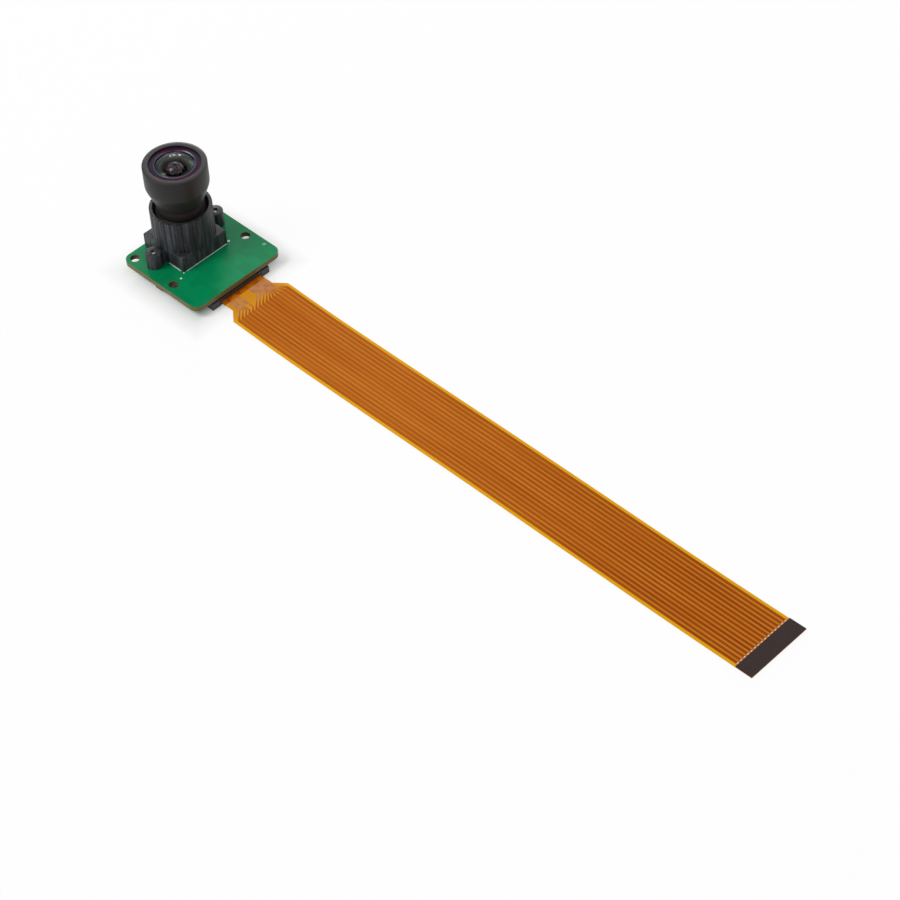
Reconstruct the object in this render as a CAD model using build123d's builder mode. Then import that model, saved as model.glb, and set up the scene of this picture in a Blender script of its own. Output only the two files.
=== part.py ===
"""Board camera module with a screw-in lens and its flat flexible cable.

The board lies flat and the lens looks up along +Z. The origin is the centre of the four mounting
holes, on the underside of the board. The cable leaves its connector along -Y. All in millimetres.
"""

import os
from math import cos, radians, sin, tan

from build123d import *

os.makedirs("parts", exist_ok=True)

# Circuit board
board_length = 25.0
board_width = 24.0
board_thickness = 1.2
board_corner_radius = 2.0
mount_spacing_y = 12.5
mount_hole_diameter = 2.2
mount_hole_inset = 2.0

# Lens holder, a black moulding fixed to the top of the board
lens_axis_y = 1.35
holder_base_length = 12.8
holder_base_width = 12.6
holder_base_height = 3.6
holder_edge = 0.15
tower_diameter = 13.7
tower_height = 11.4
tower_flute_count = 54
tower_flute_depth = 0.16
tower_flute_share = 0.5
mouth_diameter = 12.3
mouth_depth = 0.9
sensor_cavity_length = 10.6
sensor_cavity_width = 10.4
boss_spacing = 18.0
boss_diameter = 3.5
boss_height = 3.9
web_thickness = 2.0
web_height = 3.2

# Infrared filter, glued under the ledge inside the holder
filter_side = 9.4
filter_thickness = 0.3
filter_height = 1.7
filter_play = 0.1
ledge_thickness = 0.8
ledge_opening_side = 8.0

# Screws that hold the holder from under the board; their tips show in the bosses' open tops
screw_diameter = 1.2
screw_tip_recess = 0.5
screw_head_diameter = 3.0
screw_head_height = 1.0
screw_play = 0.05
screw_recess_length = 1.6
screw_recess_width = 0.35
screw_recess_depth = 0.35
screw_recess_turn = 35

# Image sensor
sensor_length = 9.6
sensor_width = 8.8
sensor_base_height = 0.9
sensor_wall = 0.8
sensor_floor = 0.35
die_length = 7.4
die_width = 6.0
die_thickness = 0.25
cover_glass_inset = 0.25
cover_glass_thickness = 0.4

# Lens barrel, M12 x 0.5 below and a wide hood above
thread_diameter = 12.0
thread_clearance = 0.05
barrel_length = 18.7
barrel_floor_gap = 1.6
thread_length = 5.9
barrel_chamfer = 0.35
neck_diameter = 10.5
neck_length = 2.6
hood_diameter = 14.0
hood_length = 5.3
hood_edge = 0.15
front_bore_diameter = 11.4

# Glass and rings inside the barrel, from the front to the back
seat_gap = 0.03
glass_play = 0.05
front_glass_setback = 0.85
front_glass_rim = 1.6
front_glass_edge = 0.1
front_glass_rise = 2.1
front_spacer_height = 1.5
front_spacer_opening = 6.4
main_bore_diameter = 7.0
second_glass_rim = 1.8
second_glass_aperture = 3.6
second_glass_rise = 0.4
stop_thickness = 0.2
stop_opening = 2.6
web_bore_diameter = 4.8
rear_glass_rim = 1.8
rear_glass_aperture = 3.6
rear_glass_rise = 0.4
rear_ring_height = 1.2
rear_ring_opening = 5.2

# Flat flexible cable connector under the front edge of the board
contact_count = 22
contact_pitch = 0.5
contact_thickness = 0.2
connector_height = 2.0
connector_front = -16.0
housing_cheek = 1.4
housing_depth = 3.6
housing_corner = 0.2
connector_play = 0.05
contact_tail = 0.75
contact_stock = 0.15
contact_reach = 3.1
contact_bump = 0.4
slider_bar_depth = 0.9
slider_bar_recess = 0.1
slider_arm_width = 0.9
slider_ear_width = 2.2
slider_arm_reach = 1.7
slider_drop = 0.3
slider_height = 1.65
slot_top = 1.1
slot_height = 0.6
slot_depth = 3.2
slot_side_play = 0.15
slider_tongue_reach = 1.4
slider_tongue_thickness = 0.2
tab_length = 1.2
tab_reach = 0.9
tab_thickness = 0.15
tab_height = 1.2

# Flat flexible cable
cable_width = 16.0
cable_head_edge = 0.25
cable_thickness = 0.15
cable_neck_end = -19.6
cable_shoulder_end = -22.2
cable_trim = 1.0
head_stiffener_length = 4.2
head_stiffener_thickness = 0.15
head_finger_length = 2.4
head_finger_width = 0.3
finger_thickness = 0.02
end_stiffener_length = 4.0
end_stiffener_thickness = 0.2
end_finger_count = 15
end_finger_pitch = 1.0
end_finger_width = 0.7
end_finger_length = 3.6

# Route of the middle of the cable, as (y, z), from inside the connector to the far end
cable_route = [
    (-13.1, -1.225),
    (-20.9, -1.225),
    (-29.5, -1.62),
    (-40.0, -1.86),
    (-62.0, -1.83),
    (-90.0, -1.62),
    (-118.0, -1.70),
    (-145.0, -1.85),
    (-165.0, -1.45),
]

# Share of the shorter run that each bend of the cable takes up
bend_share = 0.45

# Small parts under the board, each as (x, y)
chip_gap = 0.02
oscillator_place = (-4.6, -7.0)
oscillator_size = (3.2, 2.5, 0.8)
regulator_places = [(1.2, -7.1), (4.6, -7.1), (4.6, 6.0)]
regulator_size = (2.0, 2.0, 0.75)
edge_part_inset = 1.15
inductor_place = (edge_part_inset - board_length / 2, -3.2)
inductor_size = (1.6, 2.2, 1.0)
capacitor_places = [
    (-7.6, -5.4),
    (-7.6, -7.0),
    (-1.6, -5.6),
    (-1.6, -7.1),
    (7.2, -5.6),
    (7.2, -7.1),
    (-5.0, 5.2),
    (-5.0, 6.6),
    (1.6, 6.0),
    (edge_part_inset - board_length / 2, -0.9),
]
capacitor_size = (1.0, 0.5, 0.5)
resistor_places = [
    (-2.4, 5.2),
    (-2.4, 6.6),
    (board_length / 2 - edge_part_inset, -3.2),
    (board_length / 2 - edge_part_inset, -1.8),
]
resistor_size = (1.0, 0.5, 0.35)
terminal_length = 0.25
package_edge = 0.08

# Places worked out from the sizes
mount_spacing_x = board_length - 2 * mount_hole_inset
board_top = board_thickness
board_back = mount_spacing_y / 2 + mount_hole_inset
board_centre_y = board_back - board_width / 2
lens_plane = Plane(origin=(0, lens_axis_y, 0), x_dir=(1, 0, 0), z_dir=(0, -1, 0))
lens_axis = Axis((0, lens_axis_y, 0), (0, 0, 1))
boss_places = [(-boss_spacing / 2, lens_axis_y), (boss_spacing / 2, lens_axis_y)]
cable_head_width = contact_count * contact_pitch + 2 * cable_head_edge
slot_width = cable_head_width + 2 * slot_side_play
housing_length = slot_width + 2 * housing_cheek


def holder_plane(height):
    """Level plane on the lens axis, this far above the top of the board."""
    return Plane.XY.offset(board_top + height).shift_origin((0, lens_axis_y, board_top + height))


def polar(radius, angle):
    """Point on a circle about the sketch's centre, the angle in degrees."""
    return (radius * cos(radians(angle)), radius * sin(radians(angle)))


def fluted_outline(radius, count, depth, share):
    """Closed outline of a round post with V flutes; share is the part of each pitch that a flute takes."""
    pitch = 360 / count
    half_flute = pitch * share / 2
    corners = []
    for index in range(count):
        middle = index * pitch
        corners.append(polar(radius, middle - half_flute))
        corners.append(polar(radius - depth, middle))
        corners.append(polar(radius, middle + half_flute))
    Polyline(*corners, close=True)


# Circuit board, with mounting holes and clearance holes for the holder's screws
screw_hole_diameter = screw_diameter + 2 * screw_play
with BuildPart() as circuit_board:
    with BuildSketch():
        with Locations((0, board_centre_y)):
            RectangleRounded(board_length, board_width, board_corner_radius)
        with GridLocations(mount_spacing_x, mount_spacing_y, 2, 2):
            Circle(mount_hole_diameter / 2, mode=Mode.SUBTRACT)
        with Locations(*boss_places):
            Circle(screw_hole_diameter / 2, mode=Mode.SUBTRACT)
    extrude(amount=board_thickness)
circuit_board.part.label = "circuit_board"
export_step(circuit_board.part, "parts/circuit_board.step")

# Lens holder: square base, fluted tower and two screw bosses on webs
filter_seat = filter_height + filter_thickness
bore_floor = filter_seat + ledge_thickness
with BuildPart() as lens_holder:
    with BuildSketch(holder_plane(0)):
        Rectangle(holder_base_length, holder_base_width)
    extrude(amount=holder_base_height)
    chamfer(lens_holder.edges().group_by(Axis.Z)[-1], holder_edge)
    with BuildSketch(holder_plane(0)):
        with BuildLine():
            fluted_outline(tower_diameter / 2, tower_flute_count, tower_flute_depth, tower_flute_share)
        make_face()
    extrude(amount=tower_height)
    with BuildSketch(holder_plane(0)):
        with Locations((-boss_spacing / 2, 0), (boss_spacing / 2, 0)):
            Circle(boss_diameter / 2)
    extrude(amount=boss_height)
    with BuildSketch(holder_plane(0)):
        Rectangle(boss_spacing, web_thickness)
    extrude(amount=web_height)
    with BuildSketch(holder_plane(0)):
        Rectangle(sensor_cavity_length, sensor_cavity_width)
    extrude(amount=filter_height, mode=Mode.SUBTRACT)
    with BuildSketch(holder_plane(0)):
        Rectangle(filter_side + 2 * filter_play, filter_side + 2 * filter_play)
    extrude(amount=filter_seat, mode=Mode.SUBTRACT)
    with BuildSketch(holder_plane(filter_seat)):
        Rectangle(ledge_opening_side, ledge_opening_side)
    extrude(amount=ledge_thickness, mode=Mode.SUBTRACT)
    with BuildSketch(holder_plane(bore_floor)):
        Circle(thread_diameter / 2)
    extrude(amount=tower_height - bore_floor, mode=Mode.SUBTRACT)
    with BuildSketch(holder_plane(tower_height - mouth_depth)):
        Circle(mouth_diameter / 2)
    extrude(amount=mouth_depth, mode=Mode.SUBTRACT)
    with BuildSketch(holder_plane(0)):
        with Locations((-boss_spacing / 2, 0), (boss_spacing / 2, 0)):
            Circle(screw_hole_diameter / 2)
    extrude(amount=boss_height, mode=Mode.SUBTRACT)
lens_holder.part.label = "lens_holder"
export_step(lens_holder.part, "parts/lens_holder.step")

# Screws from under the board, in one file: cross-recessed heads, and shanks up into the bosses
with BuildPart() as holder_screws:
    with BuildSketch(Plane.XY.offset(-screw_head_height)):
        with Locations(*boss_places):
            Circle(screw_head_diameter / 2)
    extrude(amount=screw_head_height)
    with BuildSketch():
        with Locations(*boss_places):
            Circle(screw_diameter / 2)
    extrude(amount=board_top + boss_height - screw_tip_recess)
    with BuildSketch(Plane.XY.offset(-screw_head_height)):
        with Locations(*boss_places):
            Rectangle(screw_recess_length, screw_recess_width, rotation=screw_recess_turn)
            Rectangle(screw_recess_width, screw_recess_length, rotation=screw_recess_turn)
    extrude(amount=screw_recess_depth, mode=Mode.SUBTRACT)
holder_screws.part.label = "holder_screws"
export_step(holder_screws.part, "parts/holder_screws.step")

# Image sensor: a ceramic tray, the die on its floor and the glass that closes it
with BuildPart() as sensor_package:
    with BuildSketch(holder_plane(0)):
        Rectangle(sensor_length, sensor_width)
    extrude(amount=sensor_base_height)
    with BuildSketch(holder_plane(sensor_floor)):
        Rectangle(sensor_length - 2 * sensor_wall, sensor_width - 2 * sensor_wall)
    extrude(amount=sensor_base_height - sensor_floor, mode=Mode.SUBTRACT)
sensor_package.part.label = "sensor_package"
export_step(sensor_package.part, "parts/sensor_package.step")

with BuildPart() as sensor_die:
    with BuildSketch(holder_plane(sensor_floor)):
        Rectangle(die_length, die_width)
    extrude(amount=die_thickness)
sensor_die.part.label = "sensor_die"
export_step(sensor_die.part, "parts/sensor_die.step")

with BuildPart() as sensor_cover_glass:
    with BuildSketch(holder_plane(sensor_base_height)):
        Rectangle(sensor_length - 2 * cover_glass_inset, sensor_width - 2 * cover_glass_inset)
    extrude(amount=cover_glass_thickness)
sensor_cover_glass.part.label = "sensor_cover_glass"
export_step(sensor_cover_glass.part, "parts/sensor_cover_glass.step")

# Infrared cut filter, against the underside of the holder's ledge
with BuildPart() as ir_cut_filter:
    with BuildSketch(holder_plane(filter_height)):
        Rectangle(filter_side, filter_side)
    extrude(amount=filter_thickness)
ir_cut_filter.part.label = "ir_cut_filter"
export_step(ir_cut_filter.part, "parts/ir_cut_filter.step")

# Heights of the lens stack: its lower end stands above the floor of the holder's bore
barrel_bottom = board_top + bore_floor + barrel_floor_gap
front_face = barrel_bottom + barrel_length
front_glass_top = front_face - front_glass_setback
front_glass_bottom = front_glass_top - front_glass_rim
barrel_shoulder = front_glass_bottom - front_spacer_height
second_glass_bottom = barrel_shoulder - second_glass_rim
web_top = second_glass_bottom - seat_gap - stop_thickness
rear_glass_bottom = barrel_bottom + rear_ring_height
rear_glass_top = rear_glass_bottom + rear_glass_rim
web_bottom = rear_glass_top + seat_gap
hood_bottom = front_face - hood_length
thread_top = barrel_bottom + thread_length
neck_bottom = thread_top + barrel_chamfer
neck_top = neck_bottom + neck_length
thread_radius = thread_diameter / 2 - thread_clearance
hood_radius = hood_diameter / 2
front_bore_radius = front_bore_diameter / 2
main_bore_radius = main_bore_diameter / 2
web_bore_radius = web_bore_diameter / 2

# Lens barrel: fine thread below, a neck, a wide hood, and a web inside that the glass rests on
with BuildPart() as lens_barrel:
    with BuildSketch(lens_plane):
        with BuildLine():
            Polyline(
                (main_bore_radius, barrel_bottom),
                (thread_radius - barrel_chamfer, barrel_bottom),
                (thread_radius, barrel_bottom + barrel_chamfer),
                (thread_radius, thread_top),
                (neck_diameter / 2, neck_bottom),
                (neck_diameter / 2, neck_top),
                (hood_radius, hood_bottom),
                (hood_radius, front_face - hood_edge),
                (hood_radius - hood_edge, front_face),
                (front_bore_radius, front_face),
                (front_bore_radius, barrel_shoulder),
                (main_bore_radius, barrel_shoulder),
                (main_bore_radius, web_top),
                (web_bore_radius, web_top),
                (web_bore_radius, web_bottom),
                (main_bore_radius, web_bottom),
                close=True,
            )
        make_face()
    revolve(axis=lens_axis)
lens_barrel.part.label = "lens_barrel"
export_step(lens_barrel.part, "parts/lens_barrel.step")


def ring(name, radius, top, bottom, opening):
    """Round ring or spacer in the barrel, between two heights."""
    with BuildPart() as part:
        with BuildSketch(holder_plane(bottom - board_top)):
            Circle(radius)
            Circle(opening / 2, mode=Mode.SUBTRACT)
        extrude(amount=top - bottom)
    part.part.label = name
    export_step(part.part, f"parts/{name}.step")


def glass(name, radius, flat, rim, edge, rise):
    """Round glass element, flat at one height and domed at the other; rise is signed like the dome."""
    sphere_radius = (edge**2 + rise**2) / (2 * abs(rise))
    sag = sphere_radius - (sphere_radius**2 - edge**2 / 4) ** 0.5
    pole = rim + rise
    middle = pole - sag if rise > 0 else pole + sag
    with BuildPart() as part:
        with BuildSketch(lens_plane):
            with BuildLine():
                Polyline((0, pole), (0, flat), (radius, flat), (radius, rim), (edge, rim))
                ThreePointArc((edge, rim), (edge / 2, middle), (0, pole))
            make_face()
        revolve(axis=lens_axis)
    part.part.label = name
    export_step(part.part, f"parts/{name}.step")


# Front element, a bulging glass set into the hood, and the spacer that it rests on
glass(
    "front_element",
    front_bore_radius - glass_play,
    front_glass_bottom,
    front_glass_top,
    front_bore_radius - glass_play - front_glass_edge,
    front_glass_rise,
)
ring(
    "front_spacer",
    front_bore_radius - seat_gap,
    front_glass_bottom - seat_gap,
    barrel_shoulder,
    front_spacer_opening,
)

# Second element, and the thin aperture stop that it holds down on the web
main_glass_radius = main_bore_radius - glass_play
main_ring_radius = main_bore_radius - seat_gap
glass(
    "second_element",
    main_glass_radius,
    second_glass_bottom,
    barrel_shoulder - seat_gap,
    second_glass_aperture / 2,
    second_glass_rise,
)
ring(
    "aperture_stop",
    main_ring_radius,
    second_glass_bottom - seat_gap,
    web_top,
    stop_opening,
)

# Rear element, against the web from behind, and the ring that is screwed in after it
glass(
    "rear_element",
    main_glass_radius,
    rear_glass_top,
    rear_glass_bottom,
    rear_glass_aperture / 2,
    -rear_glass_rise,
)
ring(
    "rear_retaining_ring",
    main_ring_radius,
    rear_glass_bottom - seat_gap,
    barrel_bottom,
    rear_ring_opening,
)


def under(depth):
    """Level plane this far below the underside of the board."""
    return Plane.XY.offset(-depth)


# Connector places, counted back from its front face
housing_front = connector_front + slider_bar_depth + connector_play
housing_back = housing_front + housing_depth
cable_top = cable_route[0][1] + cable_thickness / 2
cable_bottom = cable_top - cable_thickness
contact_tip = housing_back - contact_reach
contact_low = cable_top + finger_thickness + seat_gap

# Housing: a block with the cable's slot in its front and a narrow slot for each contact
with BuildPart() as connector_housing:
    with BuildSketch(under(0)):
        with Locations((0, (housing_front + housing_back) / 2)):
            Rectangle(housing_length, housing_depth)
    extrude(amount=-connector_height)
    chamfer(connector_housing.edges().filter_by(Axis.Z), housing_corner)
    with BuildSketch(under(slot_top)):
        with Locations((0, housing_front + slot_depth / 2)):
            Rectangle(slot_width, slot_depth)
    extrude(amount=-slot_height, mode=Mode.SUBTRACT)
    with BuildSketch(under(0)):
        with Locations((0, (contact_tip - 2 * connector_play + housing_back) / 2)):
            with GridLocations(contact_pitch, 1, contact_count, 1):
                Rectangle(
                    contact_thickness + connector_play,
                    contact_reach + 2 * connector_play,
                )
    extrude(amount=-slot_top, mode=Mode.SUBTRACT)
connector_housing.part.label = "connector_housing"
export_step(connector_housing.part, "parts/connector_housing.step")

# Contacts, all in one file: a solder tail, an upright and a beam that presses on the cable
contact_start = -contact_thickness / 2 - contact_pitch * (contact_count - 1) / 2
with BuildPart() as connector_contacts:
    with BuildSketch(Plane.YZ.offset(contact_start)):
        with BuildLine():
            Polyline(
                (housing_back + contact_tail, 0),
                (housing_back + contact_tail, -contact_stock),
                (housing_back - contact_stock, -contact_stock),
                (housing_back - contact_stock, contact_low + contact_bump),
                (contact_tip + contact_bump, contact_low),
                (contact_tip, contact_low + contact_stock),
                (housing_back - 2 * contact_stock, contact_low + contact_bump + contact_stock),
                (housing_back - 2 * contact_stock, 0),
                close=True,
            )
        make_face()
    extrude(amount=contact_thickness)
    first_contact = connector_contacts.part
    with Locations(*[(index * contact_pitch, 0, 0) for index in range(1, contact_count)]):
        add(first_contact)
connector_contacts.part.label = "connector_contacts"
export_step(connector_contacts.part, "parts/connector_contacts.step")

# Solder tabs that hold the housing's ends to the board: an L section on each side
with BuildPart() as connector_solder_tabs:
    with BuildSketch(Plane.XZ.offset(-housing_back + 2 * contact_stock)):
        with BuildLine():
            Polyline(
                (housing_length / 2, 0),
                (housing_length / 2 + tab_reach, 0),
                (housing_length / 2 + tab_reach, -tab_thickness),
                (housing_length / 2 + tab_thickness, -tab_thickness),
                (housing_length / 2 + tab_thickness, -tab_height),
                (housing_length / 2, -tab_height),
                close=True,
            )
        make_face()
    extrude(amount=tab_length)
    mirror(about=Plane.YZ)
connector_solder_tabs.part.label = "connector_solder_tabs"
export_step(connector_solder_tabs.part, "parts/connector_solder_tabs.step")

# Lock slider: a bar with the cable's slot, an ear and arm at each end, and a tongue under the cable
tongue_top = cable_bottom - head_stiffener_thickness - seat_gap
arm_inner = housing_length / 2 + connector_play
slider_length = 2 * (arm_inner + slider_arm_width)
arm_length = slider_bar_depth + slider_arm_reach
bar_front = connector_front + slider_bar_recess
bar_back = connector_front + slider_bar_depth
with BuildPart() as connector_slider:
    with BuildSketch(under(slider_drop)):
        with Locations((0, connector_front + slider_bar_depth / 2)):
            Rectangle(slider_length, slider_bar_depth)
        with Locations((0, connector_front + slider_bar_recess / 2)):
            Rectangle(slider_length - 2 * slider_ear_width, slider_bar_recess, mode=Mode.SUBTRACT)
        for side in (-1, 1):
            with Locations((side * (arm_inner + slider_arm_width / 2), connector_front + arm_length / 2)):
                Rectangle(slider_arm_width, arm_length)
    extrude(amount=-slider_height)
    with BuildSketch(under(slot_top)):
        with Locations((0, connector_front + slider_bar_depth / 2)):
            Rectangle(slot_width, slider_bar_depth)
    extrude(amount=slot_top + tongue_top, mode=Mode.SUBTRACT)
    with BuildSketch(Plane.XY.offset(tongue_top)):
        with Locations((0, (bar_front + bar_back + slider_tongue_reach) / 2)):
            Rectangle(cable_head_width, bar_back - bar_front + slider_tongue_reach)
    extrude(amount=-slider_tongue_thickness)
connector_slider.part.label = "connector_slider"
export_step(connector_slider.part, "parts/connector_slider.step")


def block_group(name, places, size):
    """Plain blocks of one size, soldered to the underside of the board."""
    with BuildPart() as part:
        with BuildSketch(under(0)):
            with Locations(*places):
                Rectangle(size[0], size[1])
        extrude(amount=-size[2])
        chamfer(part.edges().group_by(Axis.Z)[0], package_edge)
    part.part.label = name
    export_step(part.part, f"parts/{name}.step")


def chip_bodies(name, places, size):
    """Bodies of chip parts, between their end terminals and just clear of the board."""
    with BuildPart() as part:
        with BuildSketch(under(chip_gap)):
            with Locations(*places):
                Rectangle(size[0] - 2 * terminal_length, size[1])
        extrude(amount=-(size[2] - chip_gap))
    part.part.label = name
    export_step(part.part, f"parts/{name}.step")


# Underside parts: clock, regulators and the inductor near the left edge
block_group("oscillator", [oscillator_place], oscillator_size)
block_group("voltage_regulators", regulator_places, regulator_size)
block_group("inductor", [inductor_place], inductor_size)

# Chip capacitors and resistors, and in one file the metal terminals at their ends
chip_bodies("capacitor_bodies", capacitor_places, capacitor_size)
chip_bodies("resistor_bodies", resistor_places, resistor_size)
with BuildPart() as chip_terminals:
    for places, size in ((capacitor_places, capacitor_size), (resistor_places, resistor_size)):
        with BuildSketch(under(0)):
            with Locations(*places):
                with GridLocations(size[0] - terminal_length, 1, 2, 1):
                    Rectangle(terminal_length, size[1])
        extrude(amount=-size[2])
chip_terminals.part.label = "chip_terminals"
export_step(chip_terminals.part, "parts/chip_terminals.step")


def bend_radii(points):
    """Radius of the arc at each inner point of a route, as large as its two runs allow."""
    radii = []
    for before, corner, after in zip(points, points[1:], points[2:]):
        inward = Vector(*corner) - Vector(*before)
        outward = Vector(*after) - Vector(*corner)
        half_turn = radians(inward.get_angle(outward)) / 2
        radii.append(bend_share * min(inward.length, outward.length) / tan(half_turn))
    return radii


# Cable: one flat strip along its route, then cut to its outline with a narrow head
cable_radii = bend_radii(cable_route)
print("cable bend radii", [round(radius) for radius in cable_radii])
cable_start_y = cable_route[0][0]
cable_end_y = cable_route[-1][0]
with BuildPart() as flex_cable:
    with BuildLine(Plane.YZ) as cable_line:
        cable_path = FilletPolyline(*cable_route, radius=cable_radii)
    cable_section = Plane(origin=cable_path @ 0, x_dir=(1, 0, 0), z_dir=cable_path % 0)
    with BuildSketch(cable_section):
        Rectangle(cable_width, cable_thickness)
    sweep()
    strip_volume = flex_cable.part.volume
    with BuildSketch():
        with BuildLine():
            Polyline(
                (0, cable_start_y + cable_trim),
                (cable_head_width / 2, cable_start_y + cable_trim),
                (cable_head_width / 2, cable_neck_end),
                (cable_width / 2, cable_shoulder_end),
                (cable_width / 2, cable_end_y - cable_trim),
                (0, cable_end_y - cable_trim),
            )
            mirror(about=Plane.YZ)
        make_face()
    extrude(amount=connector_height, both=True, mode=Mode.INTERSECT)
flex_cable.part.label = "flex_cable"
export_step(flex_cable.part, "parts/flex_cable.step")
section_volume = cable_path.length * cable_width * cable_thickness
print("cable length", round(cable_path.length, 2))
print("strip volume", round(strip_volume, 2), "from its section", round(section_volume, 2))

# Head of the cable, inside the connector: a stiffener below and bare copper fingers above
with BuildPart() as head_stiffener:
    with BuildSketch(Plane.XY.offset(cable_bottom)):
        with Locations((0, cable_start_y - head_stiffener_length / 2)):
            Rectangle(cable_head_width, head_stiffener_length)
    extrude(amount=-head_stiffener_thickness)
head_stiffener.part.label = "cable_head_stiffener"
export_step(head_stiffener.part, "parts/cable_head_stiffener.step")

with BuildPart() as head_fingers:
    with BuildSketch(Plane.XY.offset(cable_top)):
        with Locations((0, cable_start_y - head_finger_length / 2)):
            with GridLocations(contact_pitch, 1, contact_count, 1):
                Rectangle(head_finger_width, head_finger_length)
    extrude(amount=finger_thickness)
head_fingers.part.label = "cable_head_contacts"
export_step(head_fingers.part, "parts/cable_head_contacts.step")

# Far end of the cable: a dark stiffener on top and copper fingers below, square to its last run
last_run = Vector(0, *cable_route[-2]) - Vector(0, *cable_route[-1])
end_plane = Plane(
    origin=(0, *cable_route[-1]),
    x_dir=(1, 0, 0),
    z_dir=Vector(1, 0, 0).cross(last_run),
)
with BuildPart() as end_stiffener:
    with BuildSketch(end_plane.offset(cable_thickness / 2)):
        with Locations((0, end_stiffener_length / 2)):
            Rectangle(cable_width, end_stiffener_length)
    extrude(amount=end_stiffener_thickness)
end_stiffener.part.label = "cable_end_stiffener"
export_step(end_stiffener.part, "parts/cable_end_stiffener.step")

with BuildPart() as end_fingers:
    with BuildSketch(end_plane.offset(-cable_thickness / 2)):
        with Locations((0, end_finger_length / 2)):
            with GridLocations(end_finger_pitch, 1, end_finger_count, 1):
                Rectangle(end_finger_width, end_finger_length)
    extrude(amount=-finger_thickness)
end_fingers.part.label = "cable_end_contacts"
export_step(end_fingers.part, "parts/cable_end_contacts.step")
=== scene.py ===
"""Looks of the board camera module: board, lens holder, lens, connector and flat cable.

Everything is in metres, in the frame of the CAD part: the lens looks up along +Z and the cable
leaves along -Y.
"""

from math import cos, radians, sin
from random import Random

import bmesh
import bpy
from mathutils import Matrix, Vector


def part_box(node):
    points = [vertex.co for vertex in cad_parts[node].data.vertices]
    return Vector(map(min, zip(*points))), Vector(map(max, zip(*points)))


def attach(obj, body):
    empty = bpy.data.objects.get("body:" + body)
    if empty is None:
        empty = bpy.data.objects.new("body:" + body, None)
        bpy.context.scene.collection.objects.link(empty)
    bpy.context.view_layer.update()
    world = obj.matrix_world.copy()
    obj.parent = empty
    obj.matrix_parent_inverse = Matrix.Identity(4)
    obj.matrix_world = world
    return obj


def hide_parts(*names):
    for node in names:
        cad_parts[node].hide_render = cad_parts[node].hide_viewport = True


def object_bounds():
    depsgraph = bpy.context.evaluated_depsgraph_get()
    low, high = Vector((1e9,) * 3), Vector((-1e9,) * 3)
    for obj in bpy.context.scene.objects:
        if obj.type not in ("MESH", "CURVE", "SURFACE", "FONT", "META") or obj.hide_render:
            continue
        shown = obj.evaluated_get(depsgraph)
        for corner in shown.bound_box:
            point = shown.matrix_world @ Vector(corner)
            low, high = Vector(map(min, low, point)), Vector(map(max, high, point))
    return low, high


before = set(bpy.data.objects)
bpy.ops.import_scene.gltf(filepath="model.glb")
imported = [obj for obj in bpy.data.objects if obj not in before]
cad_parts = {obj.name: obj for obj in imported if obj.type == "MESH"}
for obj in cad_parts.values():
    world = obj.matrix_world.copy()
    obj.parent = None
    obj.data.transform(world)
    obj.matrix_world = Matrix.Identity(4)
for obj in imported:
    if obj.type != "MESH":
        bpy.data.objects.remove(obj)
solid_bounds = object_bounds()
scene = bpy.context.scene
scene.view_settings.view_transform = "Standard"

# Camera: it stands in front of the board's left corner and looks down on the module, with the
# cable running away to the lower right. Worked out from the board's corners and the cable's edges.
mm = 0.001
view_azimuth = radians(-43.45)
view_elevation = radians(46.58)
view_roll = radians(-3.19)
view_distance = 592.78 * mm
picture_side = 900
focal_pixels = 2728.48
board_centre_pixel = (190.31, 246.85)
board_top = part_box("circuit_board")[1].z
backward = Vector(
    (
        sin(view_azimuth) * cos(view_elevation),
        -cos(view_azimuth) * cos(view_elevation),
        sin(view_elevation),
    )
)
level_right = Vector((cos(view_azimuth), sin(view_azimuth), 0))
level_up = backward.cross(level_right)
camera_right = cos(view_roll) * level_right + sin(view_roll) * level_up
camera_up = cos(view_roll) * level_up - sin(view_roll) * level_right
aside = (board_centre_pixel[0] - picture_side / 2) / focal_pixels * view_distance
below = (board_centre_pixel[1] - picture_side / 2) / focal_pixels * view_distance
camera_place = Vector((0, 0, board_top)) + view_distance * backward
camera_place += below * camera_up - aside * camera_right
camera_turn = Matrix((camera_right, camera_up, backward)).transposed().to_euler()
bpy.ops.object.camera_add(location=camera_place, rotation=camera_turn)
camera = bpy.context.object
camera.data.sensor_width = 36
camera.data.lens = focal_pixels / picture_side * camera.data.sensor_width
camera.data.clip_start = 0.01
scene.camera = camera

# Light: a white room, a large soft light high on the left, a weaker, lower one on the right and a
# narrow, low one behind that glints in the lens. Colours come out about as they are written.
soft_lights = [
    ("left_light", (-0.7, 0.35, 0.98), 0.5, 0.5, 7.4),
    ("right_light", (0.9, 0.05, 0.42), 0.35, 0.35, 1.8),
    ("back_light", (0.62, 0.71, 0.32), 0.4, 0.1, 3.2),
]
for name, place, width, height, power in soft_lights:
    facing = Vector(place).to_track_quat("Z", "Y").to_euler()
    bpy.ops.object.light_add(type="AREA", location=place, rotation=facing)
    lamp = bpy.context.object
    lamp.name = name
    lamp.data.shape = "RECTANGLE"
    lamp.data.size = width
    lamp.data.size_y = height
    lamp.data.energy = power


def maths(tree, operation, first, second=0.0):
    """Socket with the result of one sum; each input a number or a socket."""
    node = tree.nodes.new("ShaderNodeMath")
    node.operation = operation
    for socket, part in ((node.inputs[0], first), (node.inputs[1], second)):
        if isinstance(part, (int, float)):
            socket.default_value = part
        else:
            tree.links.new(part, socket)
    return node.outputs[0]


def background_rays(tree):
    """Socket that is 1 for the rays that show the background, also in and through glass."""
    seen = tree.nodes.new("ShaderNodeLightPath").outputs
    straight = maths(tree, "MAXIMUM", seen["Is Camera Ray"], seen["Is Transmission Ray"])
    return maths(tree, "MAXIMUM", straight, seen["Is Glossy Ray"])


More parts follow.
